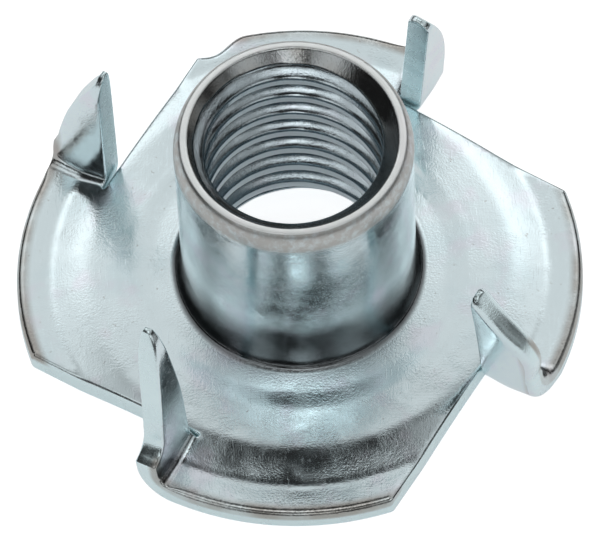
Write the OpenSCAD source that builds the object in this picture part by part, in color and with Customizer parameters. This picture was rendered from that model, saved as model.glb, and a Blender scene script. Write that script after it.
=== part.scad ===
// Four-prong tee nut, drawn and lanced from one round sheet blank.
// The barrel stands up along +Z, the origin is on its axis at the underside of the rim,
// and the first lobe of the flange points along +X. Sizes are in millimetres.

/* [Flange] */
// Diameter of the round flange
flange_d = 22; // [20:0.5:28]
// Thickness of the sheet
sheet_t = 0.95; // [0.7:0.05:1.3]
// Radius of the flat pad around the barrel
pad_r = 8; // [7.4:0.1:8.6]
// Height of the pad over the rim
pad_rise = 0.3; // [0.1:0.05:0.6]
// Width of the slope from the pad down to the rim
slope_w = 1.9; // [1:0.1:2]
// Rounding of the rim's upper edge
rim_round = 0.3; // [0.1:0.05:0.4]
// Rounding of the rim's lower edge
rim_rollover = 0.15; // [0.05:0.05:0.3]

/* [Barrel] */
// Overall height from the underside of the rim to the barrel's mouth
height = 10.8; // [9:0.1:15]
// Outer diameter of the barrel at its mouth
barrel_d = 9.3; // [9:0.1:9.8]
// Outer diameter of the barrel at its foot
foot_d = 9.1; // [9:0.05:9.4]
// Minor diameter of the thread, left as a plain bore
bore_d = 6.9; // [6.6:0.05:7.2]
// Diameter of the countersink at the barrel's mouth
sink_d = 8.2; // [7.6:0.1:8.4]
// Full angle of the countersink
sink_angle = 90; // [60:5:120]
// Rounding of the barrel's outer edge at its mouth
mouth_round = 0.25; // [0.1:0.05:0.3]
// Inside radius between the barrel's foot and the pad
foot_fillet = 0.8; // [0.6:0.1:1.8]
// Radius of the drawn entry at the underside
entry_round = 1.2; // [0.5:0.1:1.6]

/* [Prongs] */
// Number of prongs and lobes
prong_count = 4; // [3:1:4]
// Distance from the axis to the straight cuts that free the prongs
cut_d = 8.45; // [8.2:0.05:8.8]
// Angle from the first lobe's middle to the first prong
prong_azimuth = 56.5; // [50:0.5:64]
// Blunt width left at each tip
tip_w = 0.3; // [0.2:0.05:0.6]
// Bend radius at each prong's inner edge
bend_root = 0.3; // [0.2:0.05:0.35]
// Thinning of the sheet on each side, once through the bend and once more in the blade
thinning = 0.01; // [0.005:0.005:0.03]
// Radius of the hollow where a narrow blade widens into its bend
waist_round = 1; // [0.5:0.1:1.5]

/* [Each prong, as formed] */
// Height of its tip over the underside of the rim
prong_h = [7.8, 8.1, 7.2, 7.2]; // [6:0.1:9]
// Lean back from its own lobe, in degrees
prong_lean = [5, -2, 10, 6.5]; // [-3:0.5:10]
// Set of its inner face, at the fold, from the line square to its cut
prong_set = [0.6, 0.4, 0.3, 0.45]; // [0:0.05:0.7]
// How far its outer edge stands inside the flange's circle
edge_loss = [0.7, 0.2, 0.8, 0]; // [0:0.1:1]
// Height over the sheet at which it starts to widen from that arc to the flange's circle
waist_h = [0.1, 1, 1, 1]; // [0.1:0.1:1.5]
// Bend radius at its outer edge
bend_rim = [1.2, 0.5, 0.5, 1.2]; // [0.4:0.05:1.5]

/* [Worn corners] */
// Loss at each lobe's leading corner, as an angle
loss_angle = [4, 8, 0, 0]; // [0:0.5:10]
// How deep that loss bites into the rim
loss_depth = [0.4, 0.55, 0, 0]; // [0:0.05:0.6]

/* [Hidden] */
$fn = 60;
flange_r = flange_d / 2;
pitch_angle = 360 / prong_count;
// The wall's slope, and the level of the pad
wall_tilt = atan((barrel_d - foot_d) / 2 / (height - pad_top()));
// Clearance by which cutting shapes pass the solid
past = 1;
// How far the tongue roots in the flange, and the blade in the bend
tongue = 0.1;
root_lap = 0.08;

function pad_top() = sheet_t + pad_rise;
function polar(r, a) = [r * cos(a), r * sin(a)];

// The piece between a corner and the arc that rounds it. Angles are those of the corner's sides.
module corner_web(corner, side_a, side_b, r) {
    half = (side_b - side_a) / 2;
    run = r / tan(half);
    difference() {
        polygon([corner, corner + polar(run, side_a), corner + polar(run, side_b)]);
        translate(corner + polar(r / sin(half), (side_a + side_b) / 2)) circle(r);
    }
}

// Area under a plateau that falls by pad_rise along two equal arcs, from the axis outward
module plateau() {
    arc_r = (pow(slope_w, 2) + pow(pad_rise, 2)) / (4 * pad_rise);
    square([pad_r, pad_rise]);
    intersection() {
        translate([pad_r, pad_rise - arc_r]) circle(arc_r);
        translate([pad_r, 0]) square([slope_w / 2, pad_rise]);
    }
    difference() {
        translate([pad_r + slope_w / 2, 0]) square([slope_w / 2, pad_rise / 2]);
        translate([pad_r + slope_w, arc_r]) circle(arc_r);
    }
}

// Section of the sheet: rim, slope and pad, of one thickness
module flange_section() {
    difference() {
        union() {
            square([flange_r, sheet_t]);
            translate([0, sheet_t]) plateau();
        }
        plateau();
        corner_web([flange_r, sheet_t], 180, 270, rim_round);
        corner_web([flange_r, 0], 90, 180, rim_rollover);
    }
}

// Section of the barrel with its foot fillet and rounded mouth
module barrel_section() {
    wall = 90 - wall_tilt;
    difference() {
        polygon([[0, pad_rise], [foot_d / 2, pad_rise], [foot_d / 2, pad_top()],
                 [barrel_d / 2, height], [0, height]]);
        corner_web([barrel_d / 2, height], 180, wall + 180, mouth_round);
    }
    corner_web([foot_d / 2, pad_top()], 0, wall, foot_fillet);
}

// Section taken out along the axis: bore, drawn entry and countersink
module bore_section() {
    sink_depth = (sink_d - bore_d) / 2 / tan(sink_angle / 2);
    translate([0, pad_rise - past]) square([bore_d / 2, height + past]);
    corner_web([bore_d / 2, pad_rise], 0, 90, entry_round);
    polygon([[0, height - sink_depth], [bore_d / 2, height - sink_depth],
             [sink_d / 2, height], [0, height]]);
}

module turned_body() {
    rotate_extrude() difference() {
        union() {
            flange_section();
            barrel_section();
        }
        bore_section();
    }
}

// Each prong's bend widens from root to rim, as a cone whose apex lies inside the cut
function flare(i) = atan((bend_rim[i] - bend_root) / (flange_r - cut_d));
function apex_x(i) = cut_d - bend_root / tan(flare(i));
// Distance of the fold's start from the bend's apex line at radius x
function fold_run(i, x) = (x - apex_x(i)) * tan(flare(i));
// Radius of the arc that a blade's outer edge follows, and the level of its centre
function reach_r(i) = flange_r - edge_loss[i];
function arc_z(i) = prong_h[i] - sqrt(pow(reach_r(i), 2) - pow(cut_d + tip_w, 2));

// The part of the blank that the cut frees, from the cut to past the rim
module freed_blank(i) {
    far = flange_r + past;
    translate([0, 0, -past]) linear_extrude(height = pad_top() + 2 * past)
        polygon([[cut_d, -far], [far, -far], [far, prong_set[i] + fold_run(i, far)],
                 [cut_d, prong_set[i] + bend_root]]);
}

// The bend, a piece of cone that turns up from the flange, with a tongue that roots it there.
// The fold line runs along X at the height of the sheet's upper face.
module bend(i, opening) {
    half = opening / 2;
    rise = atan(tan(flare(i)) / cos(half));
    cone = asin(sin(rise) * sin(half));
    turn = acos((-cos(opening) - pow(sin(cone), 2)) / pow(cos(cone), 2));
    reach = (flange_r + past - apex_x(i)) / cos(rise);
    rotate([half - 90, 0, 0]) rotate([0, 90 - rise, 0]) rotate([0, 0, turn / 2]) {
        rotate_extrude(angle = -turn, start = 0) bend_wall(cone, reach);
        translate([0, tongue, 0]) rotate([90, 0, 0]) linear_extrude(height = tongue)
            bend_wall(cone, reach);
    }
}

// The sheet's thickness beside the cone's axis, from near the apex to past the rim
module bend_wall(cone, reach) {
    near = tongue;
    inner = thinning / cos(cone);
    outer = (sheet_t - thinning) / cos(cone);
    polygon([[near * tan(cone) + inner, near], [near * tan(cone) + outer, near],
             [reach * tan(cone) + outer, reach], [reach * tan(cone) + inner, reach]]);
}

// The blade, flat from the end of the bend to the tip, drawn a little thinner than the bend
module blade(i, opening) {
    near = cut_d - past;
    far = flange_r + past;
    rotate([opening, 0, 0]) translate([0, -root_lap, 2 * thinning])
        linear_extrude(height = sheet_t - 4 * thinning)
            polygon([[near, fold_run(i, near)], [far, fold_run(i, far)], [far, far], [near, far]]);
}

// Outline of a prong, seen square to its blade: narrow above the waist, full below it
module prong_outline(i) {
    waist_z = sheet_t + waist_h[i];
    centre = [0, arc_z(i)];
    hollow_z = waist_z + waist_round;
    hollow = [sqrt(pow(reach_r(i) + waist_round, 2) - pow(hollow_z - centre.y, 2)), hollow_z];
    touch = centre + (hollow - centre) * reach_r(i) / (reach_r(i) + waist_round);
    translate([cut_d, -past]) square([flange_r + past - cut_d, waist_z + past]);
    intersection() {
        translate(centre) rotate(180) circle(reach_r(i));
        translate([cut_d, 0]) square([flange_r, prong_h[i]]);
    }
    difference() {
        polygon([[cut_d, waist_z], [hollow.x, waist_z], hollow, touch]);
        translate(hollow) circle(waist_round);
    }
}

// One prong: bend and blade, kept outside the cut and inside the arc that the rim swings through
module prong(i) {
    intersection() {
        translate([0, prong_set[i], sheet_t]) {
            translate([apex_x(i), 0, 0]) bend(i, 90 + prong_lean[i]);
            blade(i, 90 + prong_lean[i]);
        }
        translate([0, 0, sheet_t + bend_root]) rotate(180) sphere(flange_r);
        translate([0, flange_r, 0]) rotate([90, 0, 0]) linear_extrude(height = 2 * flange_r)
            prong_outline(i);
    }
}

// The loss at a lobe's leading corner, a round bite that ends on the cut
module corner_bite(i) {
    corner = -acos(cut_d / flange_r);
    chord = 2 * flange_r * sin(loss_angle[i] / 2);
    bite_r = (pow(chord, 2) / loss_depth[i] + loss_depth[i]) / 2;
    translate(concat(polar(flange_r - loss_depth[i] + bite_r, corner), -past))
        cylinder(r = bite_r, h = sheet_t + 2 * past);
}

module tee_nut() {
    color("lightsteelblue") {
        difference() {
            turned_body();
            for (i = [0 : prong_count - 1]) rotate([0, 0, i * pitch_angle + prong_azimuth]) {
                freed_blank(i);
                if (loss_depth[i] > 0) corner_bite(i);
            }
        }
        for (i = [0 : prong_count - 1])
            rotate([0, 0, i * pitch_angle + prong_azimuth]) prong(i);
    }
}

tee_nut();
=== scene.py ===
import math
import bpy
import numpy as np
from mathutils import Matrix, Vector
from mathutils.geometry import delaunay_2d_cdt


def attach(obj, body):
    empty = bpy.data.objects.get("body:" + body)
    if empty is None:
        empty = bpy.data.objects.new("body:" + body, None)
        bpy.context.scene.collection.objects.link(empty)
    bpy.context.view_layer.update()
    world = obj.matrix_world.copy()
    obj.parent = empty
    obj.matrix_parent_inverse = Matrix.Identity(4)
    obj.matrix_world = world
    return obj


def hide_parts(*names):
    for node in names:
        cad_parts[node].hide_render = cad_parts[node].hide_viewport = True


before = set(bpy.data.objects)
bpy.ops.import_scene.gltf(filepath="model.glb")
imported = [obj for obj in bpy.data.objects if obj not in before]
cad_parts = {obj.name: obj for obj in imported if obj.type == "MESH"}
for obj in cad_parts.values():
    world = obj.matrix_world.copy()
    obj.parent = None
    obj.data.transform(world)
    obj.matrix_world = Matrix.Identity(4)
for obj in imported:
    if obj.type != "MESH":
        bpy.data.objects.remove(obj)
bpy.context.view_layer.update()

# The sheet is drawn as a flat blank, whose outline has the four lanced prongs in it. Each
# prong's part of the blank is then carried round its bend, and the barrel is joined on.
# All lengths in this script are millimetres until a mesh or the camera is placed.
MM = 0.001

# The nut's own sizes, the same as in its solid model
FLANGE_R = 10.998
SHEET = 0.95
HEIGHT = 10.8
BARREL_R, FOOT_R = 4.65, 4.53
BORE_R, THREAD_R, PITCH = 3.45, 4.0, 1.25
SINK_R = 4.1
ENTRY_ROUND = 1.2
CUT_D = 8.45
FIRST_PRONG = math.radians(56.5)
BEND_ROOT = 0.3
WAIST_ROUND = 1.0
TIP_W = 0.3

# The soft outer band at the barrel's mouth, and the flare at its foot, from the wall outwards:
# down to each tilt in degrees, at each radius
MOUTH_W, MOUTH_H = 0.34, 0.95
FOOT_TURNS = ((80, 6.0), (60, 1.0), (25, 0.15), (0, 0.7))

# Outward tilt of the pad's face in degrees, by radius: nearly flat, with witness rings, then a slope
TILTS = (
    (4.6, 5), (5.65, 5), (5.95, 0), (6.4, 0), (6.65, 5), (6.9, 5), (7.0, 2), (7.1, 5),
    (8.0, 5), (8.5, 13), (9.0, 16), (9.5, 17), (9.85, 0),
)

# The back lobe is bent up: its azimuth and half its width, how high its rim rises, and the
# radius from which it does so and over what distance
BENT_LOBE, BENT_HALF = math.radians(92), math.pi / 3
BENT_RISE, BENT_FROM, BENT_OVER = 0.4, 5, 6

# Each prong as formed. taper is the length over which its tip thins, and lie is where the tip
# lies in the thickness, from 0 at the upper face to 1 at the lower. grow lengthens the tip,
# bow bends the blade towards its lobe, bulge widens it at mid-height and roll rounds its edge.
# bite, in degrees, and bite_depth are the wear at the lobe's leading corner beside its cut.
PRONGS = [
    dict(height=7.8, lean=5.0, set=0.6, loss=0.7, waist=0.1, bend_rim=1.2,
         taper=0.4, lie=0.45, grow=-0.5, bow=0.0, bulge=0.0, roll=0.12, bite=0, bite_depth=0.0),
    dict(height=8.1, lean=-2.0, set=0.4, loss=0.2, waist=1.0, bend_rim=0.5,
         taper=1.3, lie=0.8, grow=0.05, bow=0.0, bulge=-0.15, roll=0.08, bite=8, bite_depth=0.55),
    dict(height=7.2, lean=10.0, set=0.3, loss=0.8, waist=1.0, bend_rim=0.5,
         taper=1.2, lie=0.65, grow=0.35, bow=0.18, bulge=0.0, roll=0.12, bite=0, bite_depth=0.0),
    dict(height=7.2, lean=6.5, set=0.45, loss=0.0, waist=1.0, bend_rim=1.2,
         taper=0.5, lie=0.5, grow=0.0, bow=0.0, bulge=0.9, roll=0.3, bite=0, bite_depth=0.0),
]
# Where the fibre that a bend neither stretches nor shortens lies in the thickness
NEUTRAL = 0.45
# How far a tip's taper follows its ellipse: at 1 the tip would end with no thickness
TIP_THINNING = 0.96

# The blank's outline: the slit that frees each prong, the rounding of the slit's ends, of the
# tip's corners and of the lobe's far corner, and the steps between points
SLIT_W = 0.08
SLIT_END, TIP_CORNER, LOBE_CORNER = SLIT_W / 2 * 0.98, 0.13, 0.25
STEP, TIP_STEP, ROOT_STEP, CORNER_STEP = 0.12, 0.05, 0.02, 0.03
# The six legs that each prong adds to the outline, in this order
LEGS = ("cut", "root", "inner", "tip", "blade", "rim")
# Passes in which a prong's outer edge is found, and in which edge roundings are evened out
PASSES = 12
# Lengths under this count as nothing
TINY = 1e-6
# Rounding of the sheet's edges above and below by leg. A blade has its own roll on both.
TOP_ROUND = {"cut": 0.12, "root": 0.1, "inner": 0.08, "tip": 0.07, "rim": 0.28}
LOW_ROUND = {"cut": 0.1, "root": 0.08, "inner": 0.08, "tip": 0.07, "rim": 0.15}
EDGE_ROWS = 4

# The mesh: the radius at which the barrel's rings meet the sheet, and how fine each part is
JOIN_R = 6.3
COLUMNS = 240
AROUND = np.arange(COLUMNS) * 2 * math.pi / COLUMNS
SPACING = 0.15
BLADE_INSET, BLADE_COLUMN, BLADE_REACH, BEND_ROWS = 0.12, 0.13, 8.0, 15
PAD_ROW, WALL_ROW, THREAD_ROW = 0.1, 0.2, PITCH / 20
FLARE_ROWS, MOUTH_ROWS, ENTRY_ROWS = 6, 13, 14
# A height at which the thread has its crest at azimuth 0
THREAD_FROM = 10.6 - PITCH * 0.25

# Where the material's marks on the barrel begin and over what distance they come in: the
# mouth's band and the countersink's darker tone with painted shade going up, and the end of the
# painted shade at the foot going up and going out
BAND_IN = (HEIGHT - MOUTH_H - 0.1, 0.25)
SINK_IN = (HEIGHT - 0.75, 0.1)
FOOT_SHADE_END_UP, FOOT_SHADE_END_OUT = (2.2, 2.7), (4.85, 0.2)


def smooth(t):
    t = np.clip(t, 0.0, 1.0)
    return t * t * (3 - 2 * t)


def fade_in(value, start, distance):
    """Share that rises from 0 at start to 1 at the given distance beyond it."""
    return smooth((value - start) / distance)


def rise(r):
    """Height of the pad over the rim at radius r, summed up from its tilt."""
    radii = np.linspace(3, FLANGE_R, 801)
    tilt = np.interp(radii, *zip(*TILTS))
    steps = np.tan(np.radians(tilt)) * (radii[1] - radii[0])
    return np.interp(r, radii, np.cumsum(steps[::-1])[::-1])


def lift(points):
    """How much higher the back lobe stands than the rest, bent up in the pressing.

    At 1.5 times the angle from its middle, the cosine is nothing where the lobe ends."""
    off_back = np.arctan2(points[:, 1], points[:, 0]) - BENT_LOBE
    share = np.clip(np.cos(off_back * 1.5), 0, 1) * (np.abs(off_back) < BENT_HALF)
    return BENT_RISE * fade_in(np.hypot(*points.T), BENT_FROM, BENT_OVER) * share


def relief(points):
    """Height of the sheet's upper face over the flat rim."""
    return rise(np.hypot(*points.T)) + lift(points)


# ---------------------------------------------------------------- prong forms
# In a prong's own frame x goes out along its fold, and its blade lies on the blank towards -y

def bend_radius(p, x):
    share = (x - CUT_D) / (FLANGE_R - CUT_D)
    return BEND_ROOT + (p["bend_rim"] - BEND_ROOT) * np.clip(share, 0, 1.2)


def turn(p):
    return math.radians(90 - p["lean"])


def fold_start(p, x):
    return p["set"] + bend_radius(p, x) * math.tan(turn(p) / 2)


def bend_length(p, x):
    return (bend_radius(p, x) + NEUTRAL * SHEET) * turn(p)


def run_at_height(p, x, z):
    """Length along the sheet from the fold's start up to height z."""
    top = SHEET + bend_radius(p, x) * (1 - math.cos(turn(p)))
    return bend_length(p, x) + (z - top) / math.cos(math.radians(p["lean"]))


def fold(p, x, y, depth):
    """Carries a point of the flat blank, depth below its upper face, round the prong's bend."""
    radius = bend_radius(p, x)
    run = np.maximum(fold_start(p, x) - y, 0)
    bent = np.minimum(run, bend_length(p, x))
    angle = bent / bend_length(p, x) * turn(p)
    past = run - bent
    fy = fold_start(p, x) - (radius + depth) * np.sin(angle) - past * math.cos(turn(p))
    fz = SHEET + radius - (radius + depth) * np.cos(angle) + past * math.sin(turn(p))
    return fy, fz


def form_blade(p, x, y, depth):
    """Shapes a blade before it is folded: its width, its length, its thinned tip and its bow."""
    full = run_at_height(p, CUT_D + TIP_W, p["height"]) - bend_length(p, CUT_D + TIP_W)
    past = fold_start(p, x) - y - bend_length(p, x)
    share = np.clip(past / full, 0, 1)
    near_tip = np.clip(1 - (full - past) / p["taper"], 0, 1)
    thin = 1 - np.sqrt(1 - TIP_THINNING * near_tip**2)
    depth = depth + (p["lie"] * SHEET - depth) * thin
    width = (x - CUT_D) / (FLANGE_R - CUT_D)
    hump = np.sin(math.pi * share) ** 2
    return x + p["bulge"] * hump * width, y - p["grow"] * share**2, depth, p["bow"] * hump


# ---------------------------------------------------------------- outline of the blank

def spin(pts, angle):
    c, s = math.cos(angle), math.sin(angle)
    return np.stack([c * pts[..., 0] - s * pts[..., 1], s * pts[..., 0] + c * pts[..., 1]], -1)


def prong_azimuth(i):
    return FIRST_PRONG + i * math.pi / 2


def on_circle(r, a):
    """Plan points at radius r and the angles a; either may be one value or many."""
    return np.stack([r * np.cos(a), r * np.sin(a)], -1)


def arc_points(r, a0, a1):
    n = max(2, int(abs(a1 - a0) * r / STEP) + 1)
    return on_circle(r, np.linspace(a0, a1, n))


def line_points(a, b, step=STEP):
    a, b = np.array(a, float), np.array(b, float)
    n = max(2, int(np.hypot(*(b - a)) / step) + 1)
    return a + (b - a) * np.linspace(0, 1, n)[:, None]


def heading(a, b):
    """Unit vector from a to b."""
    return (b - a) / np.hypot(*(b - a))


def cross(u, v):
    return u[0] * v[1] - u[1] * v[0]


def swing(u, v):
    """Angle from heading u to heading v, positive to the left."""
    return math.atan2(cross(u, v), u @ v)


def cut_back(leg, length):
    """The leg without its first bit of the given length."""
    if length <= TINY:
        return leg
    d = np.r_[0, np.cumsum(np.hypot(*np.diff(leg, axis=0).T))]
    keep = leg[d > length + TINY]
    first = np.array([np.interp(length, d, leg[:, 0]), np.interp(length, d, leg[:, 1])])
    return np.vstack([first, keep])


def corner_arc(start, corner, end, radius):
    """The points between start and end, on the arc that rounds the corner between them."""
    if np.hypot(*(end - start)) <= TINY:
        return np.zeros((0, 2))
    u, v = heading(start, corner), heading(corner, end)
    side = math.copysign(1, cross(u, v))
    centre = start + side * radius * np.array([-u[1], u[0]])
    first, turned = math.atan2(*(start - centre)[::-1]), swing(u, v)
    n = max(3, int(abs(turned) * radius / CORNER_STEP) + 1)
    return centre + on_circle(radius, first + turned * np.linspace(0, 1, n)[1:-1])


def join_legs(legs, radii):
    """Chains legs into one closed outline, with an arc of the given radius at each leg's end.

    Returns its points, and for each the number of its leg."""
    following = legs[1:] + legs[:1]
    trims = []
    for a, b, radius in zip(legs, following, radii):
        turned = swing(heading(a[-2], a[-1]), heading(b[0], b[1]))
        trims.append(radius * abs(math.tan(turned / 2)))
    out, leg_of = [], []
    for i, (a, b) in enumerate(zip(legs, following)):
        leg = cut_back(cut_back(a, trims[i - 1])[::-1], trims[i])[::-1]
        arc = corner_arc(leg[-1], a[-1], cut_back(b, trims[i])[0], radii[i])
        out += [leg, arc]
        leg_of += [i] * (len(leg) + len(arc))
    pts = np.vstack(out)
    keep = np.hypot(*(pts - np.roll(pts, 1, 0)).T) > 1e-5
    return pts[keep], np.array(leg_of)[keep]


def outer_edge(p, y, z):
    """How far out a prong's outer edge stands where it passes through y and height z.

    It keeps inside the ball that the rim swings through and, above the waist, inside the
    blade's own arc, with a hollow between the two."""
    reach = FLANGE_R - p["loss"]
    level = p["height"] - math.sqrt(reach**2 - (CUT_D + TIP_W) ** 2)
    waist = SHEET + p["waist"]
    hollow_z = waist + WAIST_ROUND
    hollow_x = math.sqrt((reach + WAIST_ROUND) ** 2 - (hollow_z - level) ** 2)
    touch_z = level + (hollow_z - level) * reach / (reach + WAIST_ROUND)
    ball = np.sqrt(np.maximum(FLANGE_R**2 - y**2 - (z - SHEET - BEND_ROOT) ** 2, 1))
    arc = np.sqrt(np.maximum(reach**2 - (z - level) ** 2, 1))
    hollow = hollow_x - np.sqrt(np.maximum(WAIST_ROUND**2 - (z - hollow_z) ** 2, 0))
    arc = np.where(z < waist, FLANGE_R + 1, np.where(z < touch_z, hollow, arc))
    narrowed = np.minimum(ball, arc)
    return narrowed if p["loss"] > 0 else np.where(z > waist, narrowed, ball)


def prong_edge(p):
    """The prong's outer edge on the flat blank, from the tip to where its bend starts.

    Its form is given where it stands once folded, so it is found in a few rounds."""
    tip_x = CUT_D + TIP_W
    tip_run = run_at_height(p, tip_x, p["height"])
    run = np.linspace(tip_run, 0, int(tip_run / STEP * 1.4))
    x = np.full_like(run, tip_x)
    for _ in range(PASSES):
        x = outer_edge(p, *fold(p, x, fold_start(p, x) - run, 0.0))
    x[0] = tip_x
    return np.stack([x, fold_start(p, x) - run], 1)


def worn_corner(p):
    """A lobe's leading corner, worn to a shallow round bite, in the prong's frame up to the cut."""
    bite, corner = math.radians(p["bite"]), -math.acos(CUT_D / FLANGE_R)
    half = max(3, round(bite * FLANGE_R / STEP))
    share = np.linspace(-1, 1, 2 * half + 1)
    depth = p["bite_depth"] * np.cos(share * math.pi / 2) ** 2
    pts = on_circle(FLANGE_R - depth, corner + share * bite)
    past = int(np.argmax((pts[:, 0] > CUT_D) & (share > 0)))
    before, after = pts[past - 1], pts[past]
    on_cut = before + (after - before) * (CUT_D - before[0]) / (after[0] - before[0])
    return np.vstack([pts[:past], on_cut])


def lobe_rim(i, start):
    """The rim from start, beside prong i, over its lobe to the corner at the next cut."""
    following, next_az = PRONGS[(i + 1) % len(PRONGS)], prong_azimuth(i + 1)
    corner = math.atan2(-math.sqrt(FLANGE_R**2 - CUT_D**2), CUT_D)
    stop = next_az + corner - math.radians(following["bite"])
    first = math.atan2(start[1], start[0])
    turns = round((prong_azimuth(i) - first) / (2 * math.pi))
    rim = arc_points(FLANGE_R, first + 2 * math.pi * turns, stop)
    if following["bite"]:
        rim = np.vstack([rim, spin(worn_corner(following), next_az)[1:]])
    return np.vstack([start, rim[1:]])


def blank_outline():
    """The closed outline of the lanced blank, counter-clockwise, and each point's leg."""
    legs, radii = [], []
    corner_y = -math.sqrt(FLANGE_R**2 - CUT_D**2)
    inner_x = CUT_D + SLIT_W
    for i, p in enumerate(PRONGS):
        az = prong_azimuth(i)
        root_y = fold_start(p, CUT_D)
        start_y = worn_corner(p)[-1, 1] if p["bite"] else corner_y
        edge = prong_edge(p)
        tip_y = edge[0, 1]
        legs += [
            spin(line_points((CUT_D, start_y), (CUT_D, root_y)), az),
            spin(line_points((CUT_D, root_y), (inner_x, root_y), ROOT_STEP), az),
            spin(line_points((inner_x, root_y), (inner_x, tip_y)), az),
            spin(line_points((inner_x, tip_y), edge[0], TIP_STEP), az),
            spin(edge, az),
            lobe_rim(i, spin(edge[-1], az)),
        ]
        radii += [SLIT_END, SLIT_END, TIP_CORNER, TIP_CORNER, 0.0, LOBE_CORNER]
    return join_legs(legs, radii)


# ---------------------------------------------------------------- the sheet as a mesh

def edge_round(leg_of, rounds):
    """Rounding of the sheet's edge at each outline point, evened out where legs meet."""
    values = []
    for leg in leg_of:
        kind, p = LEGS[leg % len(LEGS)], PRONGS[leg // len(LEGS)]
        values.append(p["roll"] if kind == "blade" else rounds[kind])
    values = np.array(values)
    for _ in range(PASSES):
        values = np.minimum(values, (np.roll(values, 1) + values + np.roll(values, -1)) / 3)
    return values


def inward(loop):
    """Unit normals into the material at each point of a counter-clockwise loop."""
    t = np.roll(loop, -1, 0) - np.roll(loop, 1, 0)
    t /= np.hypot(*t.T)[:, None]
    return np.stack([-t[:, 1], t[:, 0]], 1)


def inside(points, loop):
    """Even-odd test of points against a closed loop."""
    x, y = points[:, 0], points[:, 1]
    hit = np.zeros(len(points), bool)
    for (x0, y0), (x1, y1) in zip(loop, np.roll(loop, -1, 0)):
        if y0 == y1:
            continue
        crosses = (y0 > y) != (y1 > y)
        hit ^= crosses & (x < x0 + (y - y0) * (x1 - x0) / (y1 - y0))
    return hit


def clearance(points, loop, batch=2000):
    """Distance of each point from the nearest point of a loop."""
    out = np.empty(len(points))
    for s in range(0, len(points), batch):
        d = points[s:s + batch, None, :] - loop[None]
        out[s:s + batch] = np.sqrt((d**2).sum(2)).min(1)
    return out


def prong_of(points):
    """Which prong each blank point belongs to, or -1 for the flange, with its local place."""
    owner = np.full(len(points), -1)
    local = np.zeros_like(points)
    for i, p in enumerate(PRONGS):
        q = spin(points, -prong_azimuth(i))
        mine = (q[:, 0] > CUT_D + SLIT_W / 4) & (q[:, 1] < fold_start(p, q[:, 0]))
        mine &= q[:, 1] > -FLANGE_R
        owner[mine] = i
        local[mine] = q[mine]
    return owner, local


def place(points, depth):
    """Carries blank points, each depth below the upper face, into space."""
    depth = np.zeros(len(points)) + depth
    owner, local = prong_of(points)
    out = np.column_stack([points, SHEET + relief(points) - depth])
    for i, p in enumerate(PRONGS):
        mine = owner == i
        if mine.any():
            az = prong_azimuth(i)
            x, y, low, bow = form_blade(p, local[mine, 0], local[mine, 1], depth[mine])
            fold_line = np.stack([local[mine, 0], fold_start(p, local[mine, 0])], 1)
            y, z = fold(p, x, y, low)
            out[mine, :2] = spin(np.stack([x, y + bow], 1), az)
            out[mine, 2] = z + relief(spin(fold_line, az))
    return out


def flange_points():
    """Rings of points round the axis, without those that lie on a bend or a blade."""
    rings = []
    for n, r in enumerate(np.arange(JOIN_R + SPACING, FLANGE_R, SPACING)):
        staggered = (np.arange(COLUMNS) + 0.5 * (n % 2 == 0)) * 2 * math.pi / COLUMNS
        rings.append(on_circle(r, staggered))
    pts = np.vstack(rings)
    for i, p in enumerate(PRONGS):
        q = spin(pts, -prong_azimuth(i))
        folded = (q[:, 0] > CUT_D) & (q[:, 1] < fold_start(p, q[:, 0]) + SPACING * 0.7)
        pts = pts[~(folded & (q[:, 1] > -FLANGE_R))]
    return pts


def prong_points():
    """Rows of points along each prong's bend and up its blade."""
    xs = np.arange(CUT_D + SLIT_W + BLADE_INSET, FLANGE_R, BLADE_COLUMN)
    rows = []
    for i, p in enumerate(PRONGS):
        start, length = fold_start(p, xs), bend_length(p, xs)
        for share in np.linspace(0, 1, BEND_ROWS):
            rows.append(spin(np.stack([xs, start - share * length], 1), prong_azimuth(i)))
        for past in np.arange(SPACING, BLADE_REACH, SPACING):
            rows.append(spin(np.stack([xs, start - length - past], 1), prong_azimuth(i)))
    return np.vstack(rows)


def triangulate(border):
    """Triangles over the blank, between its border and the ring where the barrel joins.

    Returns the points, the triangles, and the numbers of the border's and the ring's points."""
    free = np.vstack([flange_points(), prong_points()])
    free = free[inside(free, border)]
    free = free[clearance(free, border) > SPACING * 0.5]
    ring = on_circle(JOIN_R, AROUND)
    plan = np.vstack([border, ring, free])
    n, m = len(border), len(ring)
    edges = [(k, (k + 1) % n) for k in range(n)] + [(n + k, n + (k + 1) % m) for k in range(m)]
    out = delaunay_2d_cdt([Vector(v) for v in plan], edges, [], 1, 1e-7, True)
    flat = np.array([v[:] for v in out[0]])
    tris = np.array([f[:] for f in out[2]])
    centre = flat[tris].mean(1)
    tris = tris[inside(centre, border) & ~inside(centre, ring)]
    where = np.full(len(plan), -1)
    for new, olds in enumerate(out[3]):
        for old in olds:
            where[old] = new
    return flat, tris, where[:n], where[n:n + m]


class Shell:
    """Vertices and faces of one closed mesh, gathered piece by piece.

    Each vertex has marks for the material: cut on the sheet's edge, with share as the depth in
    its thickness; bore inside the barrel; mouth, land and sink at its end, sink carrying a darker
    tone with painted shade; foot at its base, for painted shade with some darker plating there."""

    def __init__(self):
        self.verts, self.faces, self.count = [], [], 0
        names = ("cut", "share", "bore", "mouth", "foot", "land", "sink")
        self.marks = {name: [] for name in names}

    def add(self, points, **marks):
        first = self.count
        self.verts.append(points)
        self.count += len(points)
        for name, stored in self.marks.items():
            stored.append(np.zeros(len(points)) + marks.get(name, 0.0))
        return np.arange(first, self.count)

    def strip(self, a, b):
        """Quads between two closed rings of vertex numbers."""
        a1, b1 = np.roll(a, -1), np.roll(b, -1)
        self.faces += np.stack([a, a1, b1, b], 1).tolist()


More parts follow.
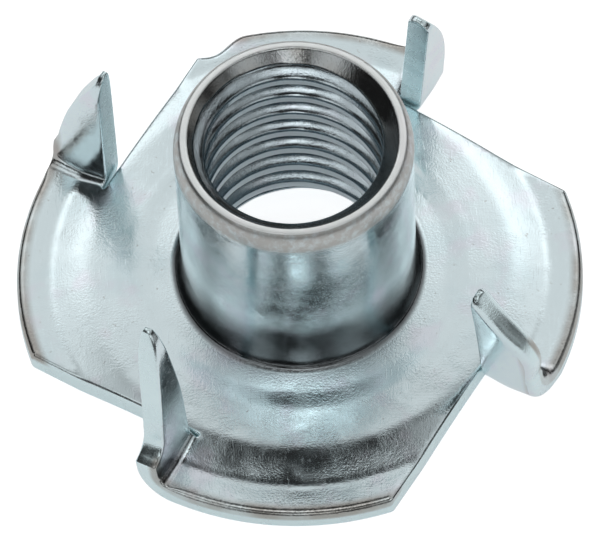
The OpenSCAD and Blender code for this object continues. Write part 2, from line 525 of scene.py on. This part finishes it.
def edge_rings(shell, outline, top_r, low_r):
    """Rings down the sheet's edge: round the upper corner, down the cut face, round the lower."""
    normal = inward(outline)
    angles = [math.pi / 2 * k / EDGE_ROWS for k in range(EDGE_ROWS)]
    rings = []
    for t in reversed(angles):
        row = outline + normal * (top_r * (1 - math.cos(t)))[:, None]
        depth = top_r * (1 - math.sin(t))
        rings.append(shell.add(place(row, depth), cut=math.cos(t) ** 2, share=0.05))
    for share in (0.33, 0.66):
        depth = top_r + (SHEET - low_r - top_r) * share
        rings.append(shell.add(place(outline, depth), cut=1, share=share))
    for t in angles:
        row = outline + normal * (low_r * (1 - math.cos(t)))[:, None]
        depth = SHEET - low_r * (1 - math.sin(t))
        rings.append(shell.add(place(row, depth), cut=math.cos(t) ** 2, share=0.95))
    return rings


def build_sheet(shell):
    """The flange with its prongs. Returns the upper and lower rings where the barrel joins."""
    outline, leg_of = blank_outline()
    top_r, low_r = edge_round(leg_of, TOP_ROUND), edge_round(leg_of, LOW_ROUND)
    flat, tris, border, join = triangulate(outline + inward(outline) * top_r[:, None])
    top = shell.add(place(flat, 0.0))
    low = shell.add(place(flat, SHEET))
    shell.faces += top[tris].tolist()
    shell.faces += low[tris[:, ::-1]].tolist()
    rings = [top[border]] + edge_rings(shell, outline, top_r, low_r) + [low[border]]
    for upper, lower in zip(rings[:-1], rings[1:]):
        shell.strip(lower, upper)
    return top[join], low[join]


# ---------------------------------------------------------------- the barrel

def wall_radius(z):
    """The drawn wall, a little wider at the mouth."""
    return FOOT_R + (BARREL_R - FOOT_R) * z / HEIGHT


def flare():
    """Points of the foot's flare, as (outwards, upwards) from its end on the pad to the wall."""
    out, up, before, points = 0.0, 0.0, 90, [(0.0, 0.0)]
    for tilt, radius in FOOT_TURNS:
        start = math.radians(before)
        for share in np.linspace(0, 1, FLARE_ROWS + 1)[1:]:
            now = math.radians(before + (tilt - before) * share)
            points.append((out + radius * (math.sin(start) - math.sin(now)),
                           up - radius * (math.cos(now) - math.cos(start))))
        out, up = points[-1]
        before = tilt
    return [(x, y - up) for x, y in reversed(points)]


def outer_profile():
    """The barrel's outside as (radius, height), from the sheet's join to the countersink."""
    curve = flare()
    foot_r = FOOT_R + curve[0][0]
    foot_z = SHEET + float(rise(foot_r))
    pad_r = np.arange(JOIN_R - PAD_ROW, foot_r + 0.03, -PAD_ROW)
    profile = [(r, SHEET + float(rise(r))) for r in pad_r]
    profile += [(wall_radius(foot_z + up) + out, foot_z + up) for out, up in curve]
    land_r, band_z = BARREL_R - MOUTH_W, HEIGHT - MOUTH_H
    wall_z = np.arange(profile[-1][1] + WALL_ROW, band_z - 0.05, WALL_ROW)
    profile += [(wall_radius(z), z) for z in wall_z]
    for t in np.linspace(0, math.pi / 2, MOUTH_ROWS):
        profile.append((land_r + MOUTH_W * math.cos(t), band_z + MOUTH_H * math.sin(t)))
    return profile + [((land_r + SINK_R) / 2, HEIGHT), (SINK_R + 0.06, HEIGHT)]


def thread_radius(z):
    """Radii of the internal thread round height z: crests at the bore, roots at the major diameter."""
    phase = ((z - THREAD_FROM) / PITCH - AROUND / (2 * math.pi)) % 1.0
    from_crest = np.abs(((phase + 0.5) % 1.0) - 0.5) * PITCH
    crest_half, flank = 0.2, (THREAD_R - BORE_R) * math.tan(math.radians(30))
    share = (from_crest - crest_half) / flank
    return BORE_R + (THREAD_R - BORE_R) * smooth(share * 0.8 + 0.1)


def blend_max(a, b, k):
    """The greater of a and b, rounded over a distance of about k where they cross."""
    return np.logaddexp(a / k, b / k) * k


def bore_radius(z, entry_z):
    """Radii round height z of thread, countersink or drawn entry, whichever stands widest."""
    r = blend_max(thread_radius(z), SINK_R - (HEIGHT - z), 0.03)
    entry_top = entry_z + ENTRY_ROUND
    if z < entry_top:
        entry = BORE_R + ENTRY_ROUND - math.sqrt(ENTRY_ROUND**2 - (entry_top - z) ** 2)
        r = blend_max(r, entry, 0.04)
    return r


def circle(r, z):
    """A ring of points at height z. r is one radius, or one for each column."""
    return np.column_stack([on_circle(r, AROUND), np.full(COLUMNS, float(z))])


def build_barrel(shell, upper, lower):
    """The barrel, from the sheet's upper ring over the mouth and down the bore to the lower ring."""
    rings = [upper]
    for r, z in outer_profile():
        # Painted shade low on the barrel and in the corner at its foot, with some darker plating there
        foot_shade = (1 - fade_in(z, *FOOT_SHADE_END_UP)) * (1 - fade_in(r, *FOOT_SHADE_END_OUT))
        land = float(z > HEIGHT - 0.01)
        rings.append(shell.add(circle(r, z), mouth=fade_in(z, *BAND_IN), foot=foot_shade, land=land))
    entry_z = float(rise(BORE_R + ENTRY_ROUND))
    for z in np.r_[HEIGHT - 0.02, np.arange(HEIGHT - 0.06, entry_z + 0.02, -THREAD_ROW)]:
        # The countersink's darker tone, with painted shade in it
        sink_tone_and_shade = 0.85 * fade_in(z, *SINK_IN)
        rings.append(shell.add(circle(bore_radius(z, entry_z), z), bore=1, sink=sink_tone_and_shade))
    for r in np.linspace(BORE_R + ENTRY_ROUND, JOIN_R, ENTRY_ROWS)[:-1]:
        rings.append(shell.add(circle(r, rise(r))))
    rings.append(lower)
    for one, two in zip(rings[:-1], rings[1:]):
        shell.strip(one, two)


def make_nut():
    shell = Shell()
    upper, lower = build_sheet(shell)
    build_barrel(shell, upper, lower)
    verts = np.vstack(shell.verts)
    mesh = bpy.data.meshes.new("tee_nut_body")
    mesh.from_pydata((verts * MM).tolist(), [], shell.faces)
    mesh.validate()
    mesh.shade_smooth()
    shell.marks["radius"] = [np.hypot(verts[:, 0], verts[:, 1])]
    for name, stored in shell.marks.items():
        mark = mesh.attributes.new(name, "FLOAT", "POINT")
        mark.data.foreach_set("value", np.concatenate(stored))
    obj = bpy.data.objects.new("tee_nut_body", mesh)
    bpy.context.collection.objects.link(obj)
    return obj


# ---------------------------------------------------------------- materials

class Graph:
    """Short calls that add nodes to a material or world and link them."""

    def __init__(self, tree):
        self.tree = tree

    def node(self, kind):
        return self.tree.nodes.new(kind)

    def put(self, socket, value):
        if isinstance(value, bpy.types.NodeSocket):
            self.tree.links.new(value, socket)
        else:
            socket.default_value = value

    def math(self, operation, a, b):
        node = self.node("ShaderNodeMath")
        node.operation = operation
        self.put(node.inputs[0], a)
        self.put(node.inputs[1], b)
        return node.outputs[0]

    def times(self, a, b):
        return self.math("MULTIPLY", a, b)

    def ramp(self, value, low, high, out_low=0.0, out_high=1.0):
        node = self.node("ShaderNodeMapRange")
        node.interpolation_type = "SMOOTHSTEP"
        self.put(node.inputs["Value"], value)
        node.inputs["From Min"].default_value = low
        node.inputs["From Max"].default_value = high
        node.inputs["To Min"].default_value = out_low
        node.inputs["To Max"].default_value = out_high
        return node.outputs[0]

    def mix(self, share, a, b):
        node = self.node("ShaderNodeMix")
        node.data_type = "RGBA"
        self.put(node.inputs[0], share)
        self.put(node.inputs[6], a)
        self.put(node.inputs[7], b)
        return node.outputs[2]

    def mark(self, name):
        node = self.node("ShaderNodeAttribute")
        node.attribute_name = name
        return node.outputs["Fac"]

    def stretched(self, vector, scale, angle):
        node = self.node("ShaderNodeMapping")
        node.inputs["Rotation"].default_value = (0, 0, math.radians(angle))
        node.inputs["Scale"].default_value = scale
        self.put(node.inputs["Vector"], vector)
        return node.outputs[0]

    def noise(self, vector, size, detail=2.0, rough=0.5):
        node = self.node("ShaderNodeTexNoise")
        self.put(node.inputs["Vector"], vector)
        node.inputs["Scale"].default_value = 1.0 / (size * MM)
        node.inputs["Detail"].default_value = detail
        node.inputs["Roughness"].default_value = rough
        return node.outputs["Fac"]

    def bump(self, height, depth, normal=None):
        node = self.node("ShaderNodeBump")
        node.inputs["Distance"].default_value = depth * MM
        self.put(node.inputs["Height"], height)
        if normal is not None:
            self.put(node.inputs["Normal"], normal)
        return node.outputs[0]


# The plating and its tints, and the dirt on it
ZINC = (0.73, 0.84, 0.87, 1)
TEAL = (0.62, 0.76, 0.80, 1)
LILAC = (0.76, 0.73, 0.82, 1)
BROWN = (0.30, 0.25, 0.21, 1)
# Cut edges, painted shade at the barrel's foot, the bore, and the mouth's countersink (a darker
# tone with painted shade), worn band and land
SATIN = (0.74, 0.90, 0.92, 1)
SHADE = (0.10, 0.105, 0.11, 1)
SLATE = (0.36, 0.42, 0.46, 1)
UMBER_AND_SHADE = (0.27, 0.25, 0.225, 1)
BEIGE = (0.47, 0.455, 0.43, 1)
PALE = (0.92, 0.92, 0.90, 1)


def plating_colour(g, at, radius):
    """Tints in broad soft clouds, dirt in specks and on the rim, each place's tone, painted shade at
    foot and sink.
    """
    cloud = g.noise(at, 2.6, 3.0)
    cloud_b = g.noise(g.stretched(at, (1, 1, 1), 47), 1.7, 3.0)
    speck = g.noise(at, 0.22, 4.0, 0.65)
    colour = g.mix(g.ramp(cloud, 0.5, 0.72, 0, 0.45), ZINC, TEAL)
    colour = g.mix(g.ramp(cloud_b, 0.52, 0.7, 0, 0.45), colour, LILAC)
    colour = g.mix(g.ramp(speck, 0.64, 0.76, 0, 0.55), colour, BROWN)
    colour = g.mix(g.times(g.mark("cut"), 0.7), colour, SATIN)

    upper_rim = g.times(g.ramp(radius, 10.4, 10.75), g.ramp(g.mark("share"), 0.08, 0.4, 1.0, 0.0))
    colour = g.mix(g.times(upper_rim, g.ramp(cloud, 0.35, 0.6, 0.3, 0.75)), colour, BROWN)
    # Painted shade at the barrel's foot, nearly black in the corner, with some darker plating
    colour = g.mix(g.times(g.mark("foot"), 0.9), colour, SHADE)
    colour = g.mix(g.times(g.mark("bore"), 0.65), colour, SLATE)

    land = g.mark("land")
    worn = g.times(g.mark("mouth"), g.ramp(g.noise(at, 0.35, 4.0, 0.7), 0.3, 0.6, 0.35, 0.85))
    colour = g.mix(g.times(worn, g.math("SUBTRACT", 1.0, land)), colour, BEIGE)
    colour = g.mix(g.times(land, 0.7), colour, PALE)
    # The countersink in dark brown: its darker tone and painted shade
    return g.mix(g.times(g.mark("sink"), g.ramp(cloud_b, 0.35, 0.6, 0.9, 0.6)), colour, UMBER_AND_SHADE)


def plating_roughness(g, at):
    """Bright, a little duller in clouds, and duller on cut edges and on the mouth's band."""
    rough = g.ramp(g.noise(at, 0.9, 4.0, 0.6), 0.35, 0.7, 0.1, 0.2)
    rough = g.math("ADD", rough, g.times(g.mark("cut"), 0.12))
    return g.math("ADD", rough, g.times(g.mark("mouth"), 0.25))


def plating_normal(g, at, radius):
    """Orange peel, two sets of drawing marks, grain in patches and round the foot, and scratches."""
    peel = g.noise(at, 0.55, 3.0, 0.55)
    drawn = g.noise(g.stretched(at, (0.06, 1, 1), 12), 0.06)
    drawn_b = g.noise(g.stretched(at, (1, 0.05, 1), -20), 0.05)
    normal = g.bump(peel, 0.0035)
    normal = g.bump(g.ramp(drawn, 0.35, 0.75), 0.0005, normal)
    normal = g.bump(g.ramp(drawn_b, 0.35, 0.75), 0.0004, normal)

    grain = g.noise(at, 0.085, 3.0, 0.6)
    patches = g.ramp(g.noise(at, 1.6), 0.38, 0.62, 0.15, 1.0)
    round_foot = g.times(g.ramp(radius, 4.7, 4.9), g.ramp(radius, 5.2, 6.0, 1.0, 0.0))
    grained = g.math("MAXIMUM", patches, g.math("MAXIMUM", round_foot, g.mark("land")))
    normal = g.bump(g.times(grain, grained), 0.0085, normal)

    scratch = g.noise(g.stretched(at, (1, 0.12, 1), 25), 0.07, 2.0, 0.4)
    return g.bump(g.ramp(scratch, 0.62, 0.7), 0.0012, normal)


def zinc():
    mat = bpy.data.materials.new("bright_zinc")
    mat.use_nodes = True
    g = Graph(mat.node_tree)
    bsdf = mat.node_tree.nodes["Principled BSDF"]
    at = g.node("ShaderNodeTexCoord").outputs["Object"]
    radius = g.mark("radius")
    g.put(bsdf.inputs["Base Color"], plating_colour(g, at, radius))
    g.put(bsdf.inputs["Roughness"], plating_roughness(g, at))
    g.put(bsdf.inputs["Normal"], plating_normal(g, at, radius))
    bsdf.inputs["Metallic"].default_value = 1.0
    return mat


# ---------------------------------------------------------------- floor, light and camera

# Half the floor's width in metres, its colour, and its glow in view and as seen in the metal
FLOOR_HALF = 1.2
FLOOR = (0.85, 0.85, 0.86, 1)
FLOOR_GLOW, FLOOR_IN_METAL = 0.8, 0.45

# The dim room's radiance, and the soft glows in it: each is (azimuth, elevation, core, reach,
# radiance), full inside its core and gone at its reach, with all angles in degrees
ROOM = 0.02
GLOWS = (
    (90, 48, 18, 30, 0.74),
    (118, 36, 6, 24, 0.5),
    (62, 36, 6, 24, 0.6),
    (143, 42, 4, 20, 0.5),
    (37, 42, 4, 20, 0.5),
    (160, 60, 6, 22, 0.5),
    (20, 60, 6, 22, 0.5),
    (205, 57, 4, 18, 0.7),
    (335, 57, 4, 18, 0.4),
    (235, 71, 4, 14, 1.0),
    (305, 71, 4, 14, 1.0),
    (270, 70, 4, 11, 1.2),
    (270, 30, 5, 13, 1.5),
    (232, 30, 6, 20, 0.9),
    (308, 30, 6, 20, 0.8),
    (335, 14, 0, 16, 0.3),
    (10, 14, 0, 18, 0.3),
)

# The view: elevation and roll in degrees, distance and width of view, and the point aimed at,
# as a height on the axis with a shift to the side and up in the picture
VIEW_ELEVATION, VIEW_ROLL = 58.3, 2.77
VIEW_DISTANCE, VIEW_WIDTH = 800.0, 23.305
AIM_Z, AIM_SIDE, AIM_UP = 0.935, 0.02, 0.054


def floor_material():
    """Pale and diffuse, with a glow of its own where the camera or the metal sees it."""
    mat = bpy.data.materials.new("pale_floor")
    mat.use_nodes = True
    mat.node_tree.nodes.clear()
    g = Graph(mat.node_tree)
    ray = g.node("ShaderNodeLightPath").outputs
    in_metal = g.times(ray["Is Glossy Ray"], FLOOR_IN_METAL)
    seen = g.math("MAXIMUM", ray["Is Camera Ray"], in_metal)
    seen = g.math("MAXIMUM", seen, ray["Is Transmission Ray"])
    diffuse = g.node("ShaderNodeBsdfDiffuse")
    g.put(diffuse.inputs["Color"], FLOOR)
    glow = g.node("ShaderNodeEmission")
    g.put(glow.inputs["Strength"], g.times(seen, FLOOR_GLOW))
    both = g.node("ShaderNodeAddShader")
    g.put(both.inputs[0], diffuse.outputs[0])
    g.put(both.inputs[1], glow.outputs[0])
    g.put(g.node("ShaderNodeOutputMaterial").inputs["Surface"], both.outputs[0])
    return mat


def add_floor():
    h = FLOOR_HALF
    corners = [(-h, -h, 0), (h, -h, 0), (h, h, 0), (-h, h, 0)]
    mesh = bpy.data.meshes.new("floor")
    mesh.from_pydata(corners, [], [(0, 1, 2, 3)])
    floor = bpy.data.objects.new("floor", mesh)
    bpy.context.collection.objects.link(floor)
    mesh.materials.append(floor_material())


def add_world():
    """A dim room with the soft glows in it."""
    world = bpy.data.worlds.new("studio")
    bpy.context.scene.world = world
    world.use_nodes = True
    g = Graph(world.node_tree)
    way = g.node("ShaderNodeTexCoord").outputs["Generated"]
    total = ROOM
    for azimuth, elevation, core, reach, radiance in GLOWS:
        az, el = math.radians(azimuth), math.radians(elevation)
        x, y, z = math.cos(az) * math.cos(el), math.sin(az) * math.cos(el), math.sin(el)
        dot = g.node("ShaderNodeVectorMath")
        dot.operation = "DOT_PRODUCT"
        g.put(dot.inputs[0], way)
        g.put(dot.inputs[1], (x, y, z))
        gone, full = math.cos(math.radians(reach)), math.cos(math.radians(core))
        total = g.math("ADD", g.ramp(dot.outputs["Value"], gone, full, 0.0, radiance), total)
    back = world.node_tree.nodes["Background"]
    g.put(back.inputs["Color"], (1, 1, 1, 1))
    g.put(back.inputs["Strength"], total)


def add_camera():
    """The photo's view, from the front and above, from so far that it has little perspective."""
    elevation, roll = math.radians(VIEW_ELEVATION), math.radians(VIEW_ROLL)
    forward = Vector((0, math.cos(elevation), -math.sin(elevation)))
    side = Vector((1, 0, 0))
    up = side.cross(forward)
    aim = Vector((0, 0, AIM_Z)) + side * AIM_SIDE + up * AIM_UP
    right = side * math.cos(roll) - up * math.sin(roll)
    top = side * math.sin(roll) + up * math.cos(roll)
    cam = bpy.data.cameras.new("camera")
    cam.sensor_width = 36.0
    cam.lens = cam.sensor_width * VIEW_DISTANCE / VIEW_WIDTH
    cam.clip_start = 0.01
    cam.clip_end = 10
    obj = bpy.data.objects.new("camera", cam)
    turned = Matrix((right, top, -forward)).transposed().to_4x4()
    obj.matrix_world = Matrix.Translation((aim - forward * VIEW_DISTANCE) * MM) @ turned
    bpy.context.collection.objects.link(obj)
    bpy.context.scene.camera = obj


add_camera()
nut = make_nut()
nut.data.materials.append(zinc())
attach(nut, "root")
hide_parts("tee_nut")
add_floor()
add_world()
bpy.context.scene.view_settings.view_transform = "Standard"
